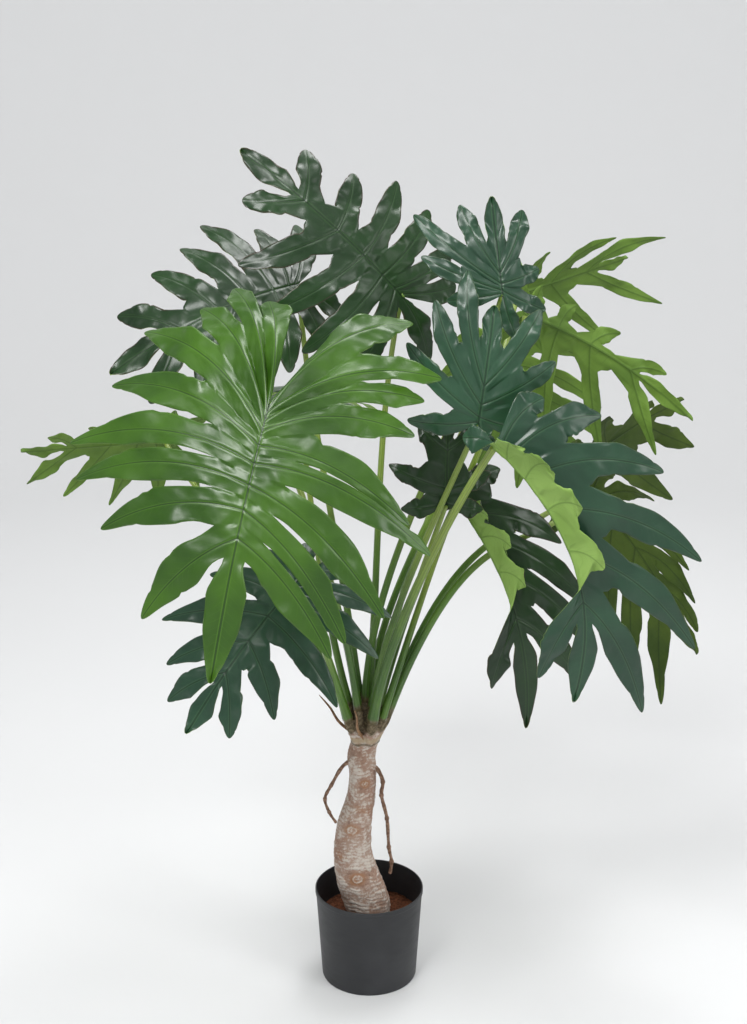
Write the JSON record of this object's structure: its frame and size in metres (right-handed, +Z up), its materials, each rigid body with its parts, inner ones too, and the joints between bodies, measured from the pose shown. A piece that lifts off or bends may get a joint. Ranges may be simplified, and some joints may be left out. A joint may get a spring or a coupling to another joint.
{
  "type": "potted philodendron selloum",
  "caption": "House plant with large deeply lobed leaves on long stalks, a leaning ringed trunk with aerial roots, and a plain black nursery pot.",
  "frame": {"origin": "middle of the pot's flat underside, where it rests", "axes": "+Z up, +X to the right and -Y to the front as the picture shows the plant"},
  "size_m": [0.9932, 0.8207, 1.2113],
  "materials": {
    "pot": "matte charcoal black moulded plastic",
    "fill": "rough reddish brown filling",
    "trunk": "ringed wrinkled bark, tan with a grey wash",
    "stalk": "smooth green to yellow-green, slightly waxy",
    "blade": "semi-gloss dark green above, matte yellow-green below"
  },
  "bodies": {
    "root": {"pot": "pot", "fill": "fill", "trunk": "trunk", "stalk_front": "stalk", "stalk_upper_left": "stalk", "stalk_top": "stalk", "stalk_upper_right": "stalk", "stalk_centre_right": "stalk", "stalk_right": "stalk", "stalk_lower_right": "stalk", "stalk_far_right": "stalk", "stalk_arching": "stalk", "stalk_top_right": "stalk", "stalk_back_right": "stalk", "stalk_far_left": "stalk", "stalk_lower_left": "stalk", "stalk_centre": "stalk", "stalk_low_right_back": "stalk", "stalk_behind": "stalk", "blade_front": "blade", "blade_upper_left": "blade", "blade_top": "blade", "blade_upper_right": "blade", "blade_centre_right": "blade", "blade_right": "blade", "blade_lower_right": "blade", "blade_far_right": "blade", "blade_arching": "blade", "blade_top_right": "blade", "blade_back_right": "blade", "blade_far_left": "blade", "blade_lower_left": "blade", "blade_centre": "blade", "blade_low_right_back": "blade", "blade_behind": "blade"}
  },
  "joints": []
}
